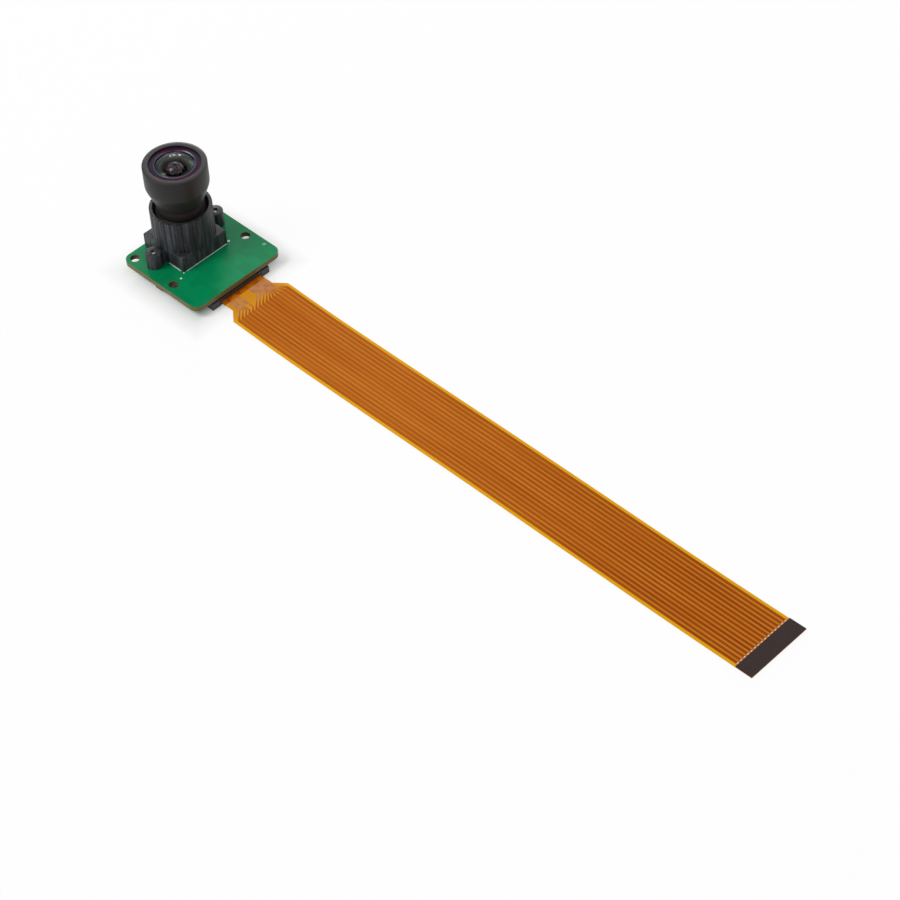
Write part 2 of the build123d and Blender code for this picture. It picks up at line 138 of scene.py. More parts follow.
room_light = 0.42
world = bpy.data.worlds.new("white_room")
scene.world = world
world.use_nodes = True
tree = world.node_tree
strength = tree.nodes.new("ShaderNodeMapRange")
strength.inputs["To Min"].default_value = room_light
strength.inputs["To Max"].default_value = 1.0
tree.links.new(background_rays(tree), strength.inputs["Value"])
background = tree.nodes["Background"]
background.inputs["Color"].default_value = (1, 1, 1, 1)
tree.links.new(strength.outputs["Result"], background.inputs["Strength"])


# Floor: a white sheet that the module and its cable lie on. It shows white, helped by a glow for
# the rays that see the background, and keeps the soft shadow. Near and under the board the glow
# fades out, a painted shade, so the floor is dark there.
def finish(name, colour, roughness, metal=0.0, specular=0.5):
    """New material with one even finish, and its node tree and shader to add detail to."""
    material = bpy.data.materials.new(name)
    material.use_nodes = True
    shader = material.node_tree.nodes["Principled BSDF"]
    shader.inputs["Base Color"].default_value = colour
    shader.inputs["Roughness"].default_value = roughness
    shader.inputs["Metallic"].default_value = metal
    shader.inputs["Specular IOR Level"].default_value = specular
    return material, material.node_tree, shader


def parts_of(tree, vector):
    """Sockets with the X, Y and Z of a vector socket."""
    split = tree.nodes.new("ShaderNodeSeparateXYZ")
    tree.links.new(vector, split.inputs["Vector"])
    return split.outputs


floor_side = 8.0
floor_glow = 0.94
shadow_inside = 2.0 * mm
shadow_outside = 5.0 * mm
board_low, board_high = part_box("circuit_board")
bpy.ops.mesh.primitive_plane_add(size=floor_side, location=(0, 0, solid_bounds[0].z))
floor = bpy.context.object
floor.name = "floor"
bpy.ops.object.transform_apply(location=True)
paper, tree, matt = finish("white_paper", (0.93, 0.93, 0.93, 1), 1.0, specular=0.0)
glow = tree.nodes.new("ShaderNodeEmission")
glow.inputs["Strength"].default_value = 1.0
coordinates = tree.nodes.new("ShaderNodeTexCoord")
from_board = tree.nodes.new("ShaderNodeVectorMath")
from_board.operation = "SUBTRACT"
from_board.inputs[1].default_value = (board_low + board_high) / 2
tree.links.new(coordinates.outputs["Object"], from_board.inputs[0])
either_side = tree.nodes.new("ShaderNodeVectorMath")
either_side.operation = "ABSOLUTE"
tree.links.new(from_board.outputs["Vector"], either_side.inputs[0])
past_edge = tree.nodes.new("ShaderNodeVectorMath")
past_edge.operation = "SUBTRACT"
past_edge.inputs[1].default_value = (board_high - board_low) / 2
tree.links.new(either_side.outputs["Vector"], past_edge.inputs[0])
sides = parts_of(tree, past_edge.outputs["Vector"])
# The glow fades from 5 mm outside the board's edge to nothing 2 mm inside it: a painted shade.
glow_beyond_painted_shade = tree.nodes.new("ShaderNodeMapRange")
glow_beyond_painted_shade.inputs["From Min"].default_value = -shadow_inside
glow_beyond_painted_shade.inputs["From Max"].default_value = shadow_outside
glow_beyond_painted_shade.inputs["To Max"].default_value = floor_glow
further = maths(tree, "MAXIMUM", sides["X"], sides["Y"])
tree.links.new(further, glow_beyond_painted_shade.inputs["Value"])
share = maths(tree, "MULTIPLY", background_rays(tree), glow_beyond_painted_shade.outputs["Result"])
blend = tree.nodes.new("ShaderNodeMixShader")
tree.links.new(share, blend.inputs["Fac"])
tree.links.new(matt.outputs["BSDF"], blend.inputs[1])
tree.links.new(glow.outputs["Emission"], blend.inputs[2])
tree.links.new(blend.outputs["Shader"], tree.nodes["Material Output"].inputs["Surface"])
floor.data.materials.append(paper)


# Circuit board: four-layer glass-fibre laminate under green solder mask, routed to shape, so its
# edges show the bare tan laminate. The walls of its holes are a darker brown. Pads are tinned and
# the marks are white ink.
def linear(red, green, blue):
    """Shader colour for a colour given as 0 to 255 in the picture's own scale."""
    channels = []
    for level in (red, green, blue):
        share = level / 255
        channels.append(share / 12.92 if share <= 0.04045 else ((share + 0.055) / 1.055) ** 2.4)
    return (*channels, 1.0)


def object_point(tree, scale=(1, 1, 1), shift=(0, 0, 0)):
    """Socket with the place on the piece, scaled and shifted."""
    coordinates = tree.nodes.new("ShaderNodeTexCoord")
    mapping = tree.nodes.new("ShaderNodeMapping")
    mapping.inputs["Scale"].default_value = scale
    mapping.inputs["Location"].default_value = shift
    tree.links.new(coordinates.outputs["Object"], mapping.inputs["Vector"])
    return mapping.outputs["Vector"]


def noise(tree, point, size, detail=2.0):
    """Socket with soft noise whose patches are about this many metres across."""
    texture = tree.nodes.new("ShaderNodeTexNoise")
    texture.inputs["Scale"].default_value = 1 / size
    texture.inputs["Detail"].default_value = detail
    tree.links.new(point, texture.inputs["Vector"])
    return texture.outputs["Fac"]


def ramp(tree, value, stops):
    """Socket with a colour that follows a value, from a list of (position, colour)."""
    node = tree.nodes.new("ShaderNodeValToRGB")
    elements = node.color_ramp.elements
    for element, (position, colour) in zip(elements, (stops[0], stops[-1])):
        element.position = position
        element.color = colour
    for position, colour in stops[1:-1]:
        elements.new(position).color = colour
    tree.links.new(value, node.inputs["Fac"])
    return node.outputs["Color"]


def mixed(tree, value, first, second):
    """Socket with first where the value is 0 and second where it is 1, colours or sockets."""
    node = tree.nodes.new("ShaderNodeMix")
    node.data_type = "RGBA"
    tree.links.new(value, node.inputs["Factor"])
    for socket, part in ((node.inputs[6], first), (node.inputs[7], second)):
        if isinstance(part, tuple):
            socket.default_value = part
        else:
            tree.links.new(part, socket)
    return node.outputs[2]


def colour_from(tree, shader, socket):
    """Colour the shader from a socket."""
    tree.links.new(socket, shader.inputs["Base Color"])


def bumped(tree, shader, height, strength, distance):
    """Raise the surface by a height socket."""
    bump = tree.nodes.new("ShaderNodeBump")
    bump.inputs["Strength"].default_value = strength
    bump.inputs["Distance"].default_value = distance
    tree.links.new(height, bump.inputs["Height"])
    tree.links.new(bump.outputs["Normal"], shader.inputs["Normal"])


def dress(material, *names):
    """Give CAD pieces this material."""
    for name in names:
        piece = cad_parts[name]
        piece.data.materials.clear()
        piece.data.materials.append(material)


copper_patch = 2.6 * mm
ply_height = 0.16 * mm
hole_pitch = (10.5 * mm, 6.25 * mm)
hole_reach = 1.3 * mm
solder_mask, tree, shader = finish("solder_mask", linear(0, 134, 86), 0.3, specular=0.16)
point = object_point(tree)
patch = tree.nodes.new("ShaderNodeTexVoronoi")
patch.distance = "CHEBYCHEV"
patch.inputs["Scale"].default_value = 1 / copper_patch
tree.links.new(point, patch.inputs["Vector"])
copper_below = ramp(
    tree, patch.outputs["Color"], [(0.45, linear(0, 126, 76)), (0.55, linear(0, 140, 86))]
)
weave = noise(tree, point, 1.2 * mm, 3)
mask_colour = mixed(tree, weave, copper_below, linear(2, 132, 82))
normal = tree.nodes.new("ShaderNodeNewGeometry")
flatness = maths(tree, "ABSOLUTE", parts_of(tree, normal.outputs["True Normal"])["Z"])
layers = noise(tree, object_point(tree, scale=(0.15, 0.15, 1)), ply_height, 2)
ply_shades = [(0.35, linear(96, 84, 48)), (0.5, linear(132, 116, 72)), (0.65, linear(88, 88, 44))]
laminate = ramp(tree, layers, ply_shades)
place = parts_of(tree, point)
sideways = maths(tree, "SUBTRACT", maths(tree, "ABSOLUTE", place["X"]), hole_pitch[0])
lengthways = maths(tree, "SUBTRACT", maths(tree, "ABSOLUTE", place["Y"]), hole_pitch[1])
off_x = maths(tree, "ABSOLUTE", sideways)
off_y = maths(tree, "ABSOLUTE", lengthways)
in_hole = maths(tree, "LESS_THAN", maths(tree, "MAXIMUM", off_x, off_y), hole_reach)
walls = mixed(tree, in_hole, laminate, linear(104, 78, 46))
level = maths(tree, "GREATER_THAN", flatness, 0.5)
colour_from(tree, shader, mixed(tree, level, walls, mask_colour))
bumped(tree, shader, noise(tree, point, 0.5 * mm, 3), 0.15, 0.02 * mm)
dress(solder_mask, "circuit_board")


# Ink marks: the corner lines that show where the holder stands, and small dots beside it, printed
# on the solder mask in white. The rest of the board's top is plain.
def edit_mode(kind="FACE"):
    """Start to edit the active piece."""
    bpy.ops.object.mode_set(mode="EDIT")
    bpy.ops.mesh.select_mode(type=kind)


def object_mode():
    """Stop editing the active piece."""
    bpy.ops.object.mode_set(mode="OBJECT")


def place_in_mesh(piece):
    """Put the piece's place, turn and size in its mesh."""
    bpy.ops.object.select_all(action="DESELECT")
    piece.select_set(True)
    bpy.context.view_layer.objects.active = piece
    bpy.ops.object.transform_apply(location=True, rotation=True, scale=True)


def join(pieces, name):
    """Make several meshes one piece, which keeps its place in its mesh."""
    bpy.ops.object.select_all(action="DESELECT")
    for piece in pieces:
        piece.select_set(True)
    bpy.context.view_layer.objects.active = pieces[0]
    if len(pieces) > 1:
        bpy.ops.object.join()
    whole = bpy.context.object
    whole.name = name
    place_in_mesh(whole)
    return whole


def bar(length, width, height, place, turn=0.0):
    """Flat bar that stands on a point, drawn as a plane and extruded up."""
    bpy.ops.mesh.primitive_plane_add(size=1, location=place, rotation=(0, 0, turn))
    piece = bpy.context.object
    piece.scale = (length, width, 1)
    place_in_mesh(piece)
    edit_mode()
    bpy.ops.mesh.select_all(action="SELECT")
    bpy.ops.mesh.extrude_region_move(TRANSFORM_OT_translate={"value": (0, 0, height)})
    bpy.ops.mesh.select_all(action="SELECT")
    bpy.ops.mesh.normals_make_consistent(inside=False)
    object_mode()
    return piece


def disc(radius, height, place, sides=32):
    """Flat disc that stands on a point, drawn as a filled circle and extruded up."""
    bpy.ops.mesh.primitive_circle_add(
        vertices=sides, radius=radius, fill_type="NGON", location=place
    )
    piece = bpy.context.object
    place_in_mesh(piece)
    edit_mode()
    bpy.ops.mesh.select_all(action="SELECT")
    bpy.ops.mesh.extrude_region_move(TRANSFORM_OT_translate={"value": (0, 0, height)})
    bpy.ops.mesh.select_all(action="SELECT")
    bpy.ops.mesh.normals_make_consistent(inside=False)
    object_mode()
    return piece


def patched(tree, shader, size, detail, stops, stretch=(1, 1, 1)):
    """Colour the shader in soft patches that are about this many metres across."""
    patches = noise(tree, object_point(tree, scale=stretch), size, detail)
    colour_from(tree, shader, ramp(tree, patches, stops))


ink_height = 0.02 * mm
ink_line = 0.22 * mm
left_line_length = 3.9 * mm
left_line_place = (-6.52 * mm, -2.25 * mm, board_top)
front_line_length = 11.6 * mm
front_line_place = (0.1 * mm, -5.2 * mm, board_top)
ink_dots = [((-6.55, -5.2), 0.16), ((-8.1, -6.0), 0.24), ((6.87, -4.83), 0.3)]
marks = [
    bar(ink_line, left_line_length, ink_height, left_line_place),
    bar(front_line_length, ink_line, ink_height, front_line_place),
]
for (x, y), radius in ink_dots:
    marks.append(disc(radius * mm, ink_height, (x * mm, y * mm, board_top)))
silkscreen = join(marks, "silkscreen_marks")
white_ink, tree, shader = finish("white_ink", linear(235, 240, 235), 0.6)
patched(
    tree, shader, 0.15 * mm, 2, [(0.3, linear(215, 226, 218)), (0.6, linear(240, 244, 240))]
)
silkscreen.data.materials.append(white_ink)
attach(silkscreen, "module_base")


# Test pads: one round tinned pad on the top near the right edge, where the solder mask is left
# open. It is thinly tinned, so the board's green shows in it.
def roughened(tree, shader, height, low, high):
    """Let the roughness run between two levels with a height socket."""
    spread = tree.nodes.new("ShaderNodeMapRange")
    spread.inputs["To Min"].default_value = low
    spread.inputs["To Max"].default_value = high
    tree.links.new(height, spread.inputs["Value"])
    tree.links.new(spread.outputs["Result"], shader.inputs["Roughness"])


def worn(tree, shader, size, low, high, detail=2, stretch=(1, 1, 1)):
    """Let the roughness run between two levels in patches about this many metres across."""
    patches = noise(tree, object_point(tree, scale=stretch), size, detail)
    roughened(tree, shader, patches, low, high)


pad_radius = 0.45 * mm
pad_place = (11.35 * mm, -11.4 * mm, board_top)
test_pads = join([disc(pad_radius, ink_height, pad_place)], "test_pads")
pad_tin, tree, shader = finish("pad_tin", linear(92, 150, 118), 0.4, metal=0.2)
worn(tree, shader, 0.1 * mm, 0.3, 0.5)
test_pads.data.materials.append(pad_tin)
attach(test_pads, "module_base")

# Image sensor: a ceramic tray that is glued to the board, with the silicon die bonded in it and a
# clear glass cemented on top.
ceramic, tree, shader = finish("sensor_ceramic", linear(150, 140, 132), 0.7)
patched(
    tree, shader, 0.3 * mm, 3, [(0.3, linear(140, 130, 122)), (0.7, linear(160, 150, 142))]
)
dress(ceramic, "sensor_package")
silicon, tree, shader = finish("sensor_silicon", linear(70, 60, 95), 0.15, metal=0.7)
silicon_shades = [(0.3, linear(62, 50, 110)), (0.7, linear(60, 92, 90))]
patched(tree, shader, 3.0 * mm, 1, silicon_shades, stretch=(1, 3, 1))
dress(silicon, "sensor_die")


def clear_glass(name, colour, coating, bending=1.52, smear=0.02):
    """Polished glass with a thin coating that weakens its reflections and gives them a colour."""
    material, tree, shader = finish(name, colour, 0.0)
    shader.inputs["Transmission Weight"].default_value = 1.0
    shader.inputs["IOR"].default_value = bending
    shader.inputs["Specular Tint"].default_value = coating
    worn(tree, shader, 2 * mm, 0.0, smear, detail=1)
    return material


dress(clear_glass("cover_glass", (0.95, 0.98, 0.97, 1), (1, 1, 1, 1)), "sensor_cover_glass")

# Infrared filter: a square of blue-green coated glass, glued under the ledge inside the holder.
# Its coating throws red light back.
dress(clear_glass("filter_glass", (0.45, 0.80, 0.86, 1), (1.0, 0.4, 0.5, 1)), "ir_cut_filter")


# Lens holder: one black moulding with a square base, a finely fluted tower and two screw bosses on
# webs. It is screwed down from below, and the bosses are open at the top.
touching = 1e-7


def pick(kind, test):
    """Select only the vertices or edges of the piece in edit mode that pass a test."""
    shape = bmesh.from_edit_mesh(bpy.context.edit_object.data)
    for vertex in shape.verts:
        vertex.select = False
    for edge in shape.edges:
        edge.select = False
    for face in shape.faces:
        face.select = False
    for part in getattr(shape, kind):
        if kind == "verts":
            middle = part.co
        else:
            middle = (part.verts[0].co + part.verts[1].co) / 2
        if test(part, middle):
            part.select = True
    shape.select_flush_mode()
    bmesh.update_edit_mesh(bpy.context.edit_object.data)


def modify(piece, kind, **settings):
    """Add a modifier to a piece and apply it."""
    bpy.ops.object.select_all(action="DESELECT")
    piece.select_set(True)
    bpy.context.view_layer.objects.active = piece
    modifier = piece.modifiers.new(kind.lower(), kind)
    for setting, value in settings.items():
        setattr(modifier, setting, value)
    bpy.ops.object.modifier_apply(modifier=modifier.name)
    return piece


def cut(piece, tool, operation="DIFFERENCE"):
    """Cut a closed shape out of a piece, or fuse it to the piece, and use the shape up."""
    modify(piece, "BOOLEAN", operation=operation, solver="EXACT", object=tool)
    bpy.data.objects.remove(tool)
    return piece


def crease(piece, angle):
    """Shade smooth, with edges sharper than this many degrees left crisp."""
    bpy.ops.object.select_all(action="DESELECT")
    piece.select_set(True)
    bpy.context.view_layer.objects.active = piece
    bpy.ops.object.shade_smooth_by_angle(angle=radians(angle))
    return piece


def post(radius, bottom, top, place, sides=64, rim=0.0):
    """Upright round post with its top edge bevelled by the rim."""
    piece = disc(radius, top - bottom, (place[0], place[1], bottom), sides)
    if rim:
        edit_mode("EDGE")
        pick("edges", lambda edge, middle: all(abs(v.co.z - top) < touching for v in edge.verts))
        bpy.ops.mesh.bevel(offset=rim, segments=2, affect="EDGES")
        object_mode()
    return piece


def block(length, width, bottom, top, place, edge=0.0):
    """Upright block with its upright and top edges bevelled."""
    piece = bar(length, width, top - bottom, (place[0], place[1], bottom))
    if edge:
        edit_mode("EDGE")
        pick("edges", lambda edge, middle: middle.z > bottom + touching)
        bpy.ops.mesh.bevel(offset=edge, segments=2, affect="EDGES")
        object_mode()
    return piece


holder_low, holder_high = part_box("lens_holder")
lens_y = (holder_low.y + holder_high.y) / 2
tower_top = holder_high.z
tower_radius = 6.85 * mm
flute_count = 54
flute_steps = 6
flute_cuts = (0.04, 0.14, 0.24)
base_length = 12.8 * mm
base_width = 12.6 * mm
base_edge = 0.16 * mm
base_top = board_top + 3.6 * mm
boss_offset = 9.0 * mm
boss_radius = 1.75 * mm
boss_bore = 0.65 * mm
boss_top = board_top + 3.9 * mm
web_length = 18.0 * mm
web_width = 2.0 * mm
web_top = board_top + 3.2 * mm
soft_edge = 0.12 * mm
pockets = [(10.6, 10.4, 1.7), (9.6, 9.6, 2.0), (8.0, 8.0, 3.2)]
bore_floor = board_top + 2.8 * mm
bore_radius = 6.0 * mm
mouth_radius = 6.15 * mm
mouth_depth = 0.9 * mm
tower_foot = base_top - 0.4 * mm
dice = Random(5)
bpy.ops.mesh.primitive_circle_add(
    vertices=flute_count * flute_steps,
    radius=tower_radius,
    fill_type="NGON",
    location=(0, lens_y, tower_foot),
)
holder = bpy.context.object
place_in_mesh(holder)
edit_mode("VERT")
flute_depths = [dice.choice(flute_cuts) * mm for _ in range(flute_count)]
for flute, depth in enumerate(flute_depths):
    for offset, share in ((-1, 0.5), (0, 1.0), (1, 0.5)):
        wanted = (flute * flute_steps + offset) % (flute_count * flute_steps)
        pick("verts", lambda vertex, middle, wanted=wanted: vertex.index == wanted)
        shrink = 1 - share * depth / tower_radius
        bpy.ops.transform.resize(
            value=(shrink, shrink, 1), center_override=(0, lens_y, tower_foot)
        )
bpy.ops.mesh.select_all(action="SELECT")
bpy.ops.mesh.extrude_region_move(TRANSFORM_OT_translate={"value": (0, 0, tower_top - tower_foot)})
bpy.ops.mesh.select_all(action="SELECT")
bpy.ops.mesh.normals_make_consistent(inside=False)
object_mode()
lens_axis = (0, lens_y)
cut(holder, block(base_length, base_width, board_top, base_top, lens_axis, base_edge), "UNION")
cut(holder, block(web_length, web_width, board_top, web_top, lens_axis, soft_edge), "UNION")
boss_places = [(-boss_offset, lens_y), (boss_offset, lens_y)]
for boss_place in boss_places:
    cut(holder, post(boss_radius, board_top, boss_top, boss_place, 64, soft_edge), "UNION")
for boss_place in boss_places:
    cut(holder, post(boss_bore, board_top - mm, boss_top + mm, boss_place, 40))
for length, width, height in pockets:
    roof = board_top + height * mm
    cut(holder, block(length * mm, width * mm, board_top - mm, roof, lens_axis))
cut(holder, post(bore_radius, bore_floor, tower_top + mm, lens_axis, 128))
cut(holder, post(mouth_radius, tower_top - mouth_depth, tower_top + mm, lens_axis, 128))
holder.name = "detailed_lens_holder"
crease(holder, 35)
moulding, tree, shader = finish("black_moulding", linear(30, 30, 33), 0.5, specular=0.3)
point = object_point(tree)
# Lighter and darker vertical streaks, painted highlights and shade like those on lit flutes.
flute_light_streaks = noise(tree, object_point(tree, scale=(1, 1, 0.07)), 0.75 * mm, 2)
patches = noise(tree, point, 1.6 * mm, 3)
flute_light_streaked = ramp(
    tree,
    flute_light_streaks,
    [(0.36, linear(22, 22, 24)), (0.5, linear(44, 45, 49)), (0.64, linear(84, 87, 94))],
)
colour_from(tree, shader, mixed(tree, patches, flute_light_streaked, linear(38, 38, 42)))
roughened(tree, shader, noise(tree, point, 0.5 * mm, 2), 0.42, 0.62)
bumped(tree, shader, noise(tree, point, 0.08 * mm, 2), 0.25, 0.02 * mm)
holder.data.materials.clear()
holder.data.materials.append(moulding)
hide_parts("lens_holder")
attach(holder, "module_base")

# Screws: two plated self-tapping screws that hold the holder from under the board. Their tips show
# as a glint in the open bosses.
plated, tree, shader = finish("plated_steel", linear(235, 232, 224), 0.3, metal=1.0)
worn(tree, shader, 0.12 * mm, 0.2, 0.45)
dress(plated, "holder_screws")


# Lens barrel: turned from aluminium and anodised black, with a fine thread that screws into the
# holder, a waist, and a hood with a flat front. Its profile goes up the outside and down inside.
def turned(steps, name, sides=128):
    """Round piece on the lens axis, a ring extruded from one (radius, height) to the next."""
    radius, height = steps[0]
    bpy.ops.mesh.primitive_circle_add(vertices=sides, radius=radius, location=(0, lens_y, height))
    piece = bpy.context.object
    piece.name = name
    place_in_mesh(piece)
    edit_mode("VERT")
    bpy.ops.mesh.select_all(action="SELECT")
    for (radius, height), (next_radius, next_height) in zip(steps, steps[1:]):
        bpy.ops.mesh.extrude_region_move(
            TRANSFORM_OT_translate={"value": (0, 0, next_height - height)}
        )
        grow = next_radius / radius
        bpy.ops.transform.resize(value=(grow, grow, 1), center_override=(0, lens_y, next_height))
    return piece


def close_up(piece):
    """Merge what meets, turn the faces outwards and leave edit mode."""
    bpy.ops.mesh.select_all(action="SELECT")
    bpy.ops.mesh.remove_doubles(threshold=1e-6)
    bpy.ops.mesh.select_all(action="SELECT")
    bpy.ops.mesh.normals_make_consistent(inside=False)
    object_mode()
    return piece


barrel_low, barrel_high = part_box("lens_barrel")
front = barrel_high.z
thread_crest = 5.95 * mm
thread_root = 5.68 * mm
thread_pitch = 0.5 * mm
thread_turns = 11
thread_start = barrel_low.z + 0.35 * mm
foot_radius = 5.6 * mm
neck = 5.25 * mm
hood = 7.0 * mm
bore = 5.7 * mm
glass_seat = 3.5 * mm
light_bore = 2.4 * mm
spacer_seat = front - 3.95 * mm
web_front = front - 5.98 * mm
web_back = front - 15.67 * mm
outline = [(glass_seat, barrel_low.z), (foot_radius, barrel_low.z)]
for turn in range(thread_turns):
    start = thread_start + turn * thread_pitch
    outline += [
        (thread_root, start),
        (thread_crest, start + 0.2 * mm),
        (thread_crest, start + 0.27 * mm),
        (thread_root, start + 0.47 * mm),
    ]
outline += [
    (foot_radius, barrel_low.z + 6.0 * mm),
    (5.55 * mm, barrel_low.z + 6.1 * mm),
    (neck, barrel_low.z + 6.4 * mm),
    (neck, barrel_low.z + 8.4 * mm),
    (5.3 * mm, barrel_low.z + 8.85 * mm),
    (5.42 * mm, barrel_low.z + 9.25 * mm),
    (6.62 * mm, front - 6.25 * mm),
    (6.84 * mm, front - 5.65 * mm),
    (6.95 * mm, front - 5.25 * mm),
    (hood, front - 4.8 * mm),
    (hood, front - 0.2 * mm),
    (6.96 * mm, front - 0.07 * mm),
    (6.86 * mm, front),
    (6.35 * mm, front),
    (6.33 * mm, front - 0.03 * mm),
    (5.98 * mm, front - 0.03 * mm),
    (5.96 * mm, front),
    (5.78 * mm, front),
    (bore, front - 0.06 * mm),
    (bore, spacer_seat),
    (glass_seat, spacer_seat),
    (glass_seat, web_front),
    (light_bore, web_front),
    (light_bore, web_back),
    (glass_seat, web_back),
    (glass_seat, barrel_low.z),
]
barrel = close_up(turned(outline, "detailed_lens_barrel"))
crease(barrel, 40)
anodised, tree, shader = finish("black_anodised", linear(26, 26, 27), 0.42, specular=0.28)
point = object_point(tree, shift=(0, -lens_y, 0))
turning_marks = 0.9 * mm
rings = tree.nodes.new("ShaderNodeTexWave")
rings.wave_type = "RINGS"
rings.rings_direction = "Z"
rings.inputs["Scale"].default_value = 1 / turning_marks
rings.inputs["Distortion"].default_value = 0.6
tree.links.new(point, rings.inputs["Vector"])
wear = noise(tree, object_point(tree, scale=(1, 1, 3)), 0.6 * mm, 3)
marks_colour = ramp(
    tree, rings.outputs["Fac"], [(0.2, linear(24, 21, 20)), (0.8, linear(44, 37, 35))]
)
colour_from(tree, shader, mixed(tree, wear, marks_colour, linear(28, 28, 29)))
roughened(tree, shader, wear, 0.36, 0.5)
bumped(tree, shader, rings.outputs["Fac"], 0.2, 0.01 * mm)
barrel.data.materials.append(anodised)
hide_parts("lens_barrel")
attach(barrel, "lens_tube")

# Rings inside the barrel: turned like it and left dull black, so that they don't glare. The rear
# one is screwed in behind the last glass.
dull_black, tree, shader = finish("dull_black", linear(22, 20, 18), 0.55)
black_shades = [(0.3, linear(20, 19, 17)), (0.7, linear(46, 42, 34))]
patched(tree, shader, 0.4 * mm, 2, black_shades, stretch=(1, 1, 8))
dress(dull_black, "aperture_stop", "rear_retaining_ring")

# Front element: a thin dome of glass with a flat rim, coated on both sides, which tints its
# reflections blue and green. Its rim is dark purple, a painted coating reflection. It is held in
# the hood's bore, and its hollow takes the glass behind it.
glass_low, glass_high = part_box("front_element")
rim_top = front - 0.4 * mm
rim_radius = 5.65 * mm
coating_edge = 4.5 * mm
dome_edge = 4.36 * mm
dome_foot = rim_top + 0.08 * mm
dome_rise = glass_high.z - dome_foot
dome_radius = (dome_edge**2 + dome_rise**2) / (2 * dome_rise)
dome_centre = glass_high.z - dome_radius
dome_steps = 16
shell = 0.35 * mm
hollow_edge = 4.25 * mm
pole = 0.02 * mm
outline = [
    (hollow_edge, glass_low.z),
    (rim_radius, glass_low.z),
    (rim_radius, rim_top),
    (coating_edge, rim_top),
    (dome_edge, dome_foot),
]
for step in range(1, dome_steps):
    radius = dome_edge * (1 - step / dome_steps)
    outline.append((radius, dome_centre + (dome_radius**2 - radius**2) ** 0.5))
outline += [(pole, glass_high.z), (pole, glass_high.z - shell)]
for step in range(dome_steps - 1, -1, -1):
    radius = hollow_edge * (1 - step / dome_steps)
    outline.append((radius, dome_centre + ((dome_radius - shell) ** 2 - radius**2) ** 0.5))
front_glass = close_up(turned(outline, "detailed_front_element", 96))
crease(front_glass, 30)
thin_bending = 1.11
front_tint = (0.7, 0.75, 1.0, 1)
inner_tint = (0.4, 1.0, 0.45, 1)
coated = clear_glass("coated_front_glass", (0.95, 0.95, 0.97, 1), front_tint, thin_bending, 0.015)
inner_coating = clear_glass(
    "inner_coating", (0.95, 0.97, 0.95, 1), inner_tint, thin_bending, 0.015
)
# The rim's purple, in soft patches, is a painted reflection of its coating.
rim_painted_reflection, tree, shader = finish("rim_painted_reflection", linear(52, 20, 46), 0.18, specular=0.12)
patched(tree, shader, 2.5 * mm, 1, [(0.35, linear(38, 30, 54)), (0.65, linear(66, 20, 50))])
ground_edge, tree, shader = finish("ground_edge", linear(76, 86, 98), 0.4, specular=0.3)
worn(tree, shader, 0.3 * mm, 0.3, 0.5, detail=1)
for glass_material in (coated, rim_painted_reflection, inner_coating, ground_edge):
    front_glass.data.materials.append(glass_material)
for face in front_glass.data.polygons:
    from_axis = Vector((face.center.x, face.center.y - lens_y)).length
    if from_axis > coating_edge or face.center.z < rim_top - 0.2 * mm:
        face.material_index = 1
    elif from_axis > dome_edge:
        face.material_index = 3
    elif face.normal.z < 0:
        face.material_index = 2
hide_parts("front_element")
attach(front_glass, "lens_glasses")

# Front spacer: a dull ring between the two front glasses, whose cone runs up into the hollow of
# the front glass and shows through it around the second glass. Its colour runs with the distance
# from the lens axis: painted shade in the throat, a painted highlight at the cone's edge and
# painted green and grey-blue coating reflections further out.
spacer_low, spacer_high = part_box("front_spacer")
spacer_radius = 5.6 * mm
collar = 4.15 * mm
throat = 2.38 * mm
cone_foot = front - 1.9 * mm
cone_top = front - 0.75 * mm
outline = [
    (throat, spacer_low.z),
    (spacer_radius, spacer_low.z),
    (spacer_radius, spacer_high.z),
    (collar, spacer_high.z),
    (collar, cone_top - 0.1 * mm),
    (4.05 * mm, cone_top),
    (3.45 * mm, cone_top - 0.2 * mm),
    (3.3 * mm, cone_top - 0.3 * mm),
    (2.46 * mm, cone_foot),
    (throat, cone_foot - 0.1 * mm),
    (throat, spacer_low.z),
]
spacer = close_up(turned(outline, "detailed_front_spacer", 96))
crease(spacer, 30)
spacer_painted_shade_and_reflections, tree, shader = finish("spacer_painted_shade_and_reflections", linear(56, 50, 40), 0.5, specular=0.06)
point = object_point(tree, scale=(1, 1, 0), shift=(0, -lens_y, 0))
reach = tree.nodes.new("ShaderNodeVectorMath")
reach.operation = "LENGTH"
tree.links.new(point, reach.inputs[0])
shade_reach = 4.3 * mm
radial = maths(tree, "DIVIDE", reach.outputs["Value"], shade_reach)
# Painted shade in the throat, a painted highlight at the cone's edge, painted reflections outside.
painted_ring_shade_and_reflections = [
    (0.56, linear(12, 9, 8)),
    (0.66, linear(40, 34, 26)),
    (0.78, linear(58, 60, 56)),
    (0.81, linear(36, 46, 50)),
    (0.87, linear(2, 26, 20)),
    (0.97, linear(56, 66, 78)),
]
colour_from(tree, shader, ramp(tree, radial, painted_ring_shade_and_reflections))
worn(tree, shader, 0.5 * mm, 0.35, 0.5, detail=1)
spacer.data.materials.append(spacer_painted_shade_and_reflections)
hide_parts("front_spacer")
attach(spacer, "lens_tube")

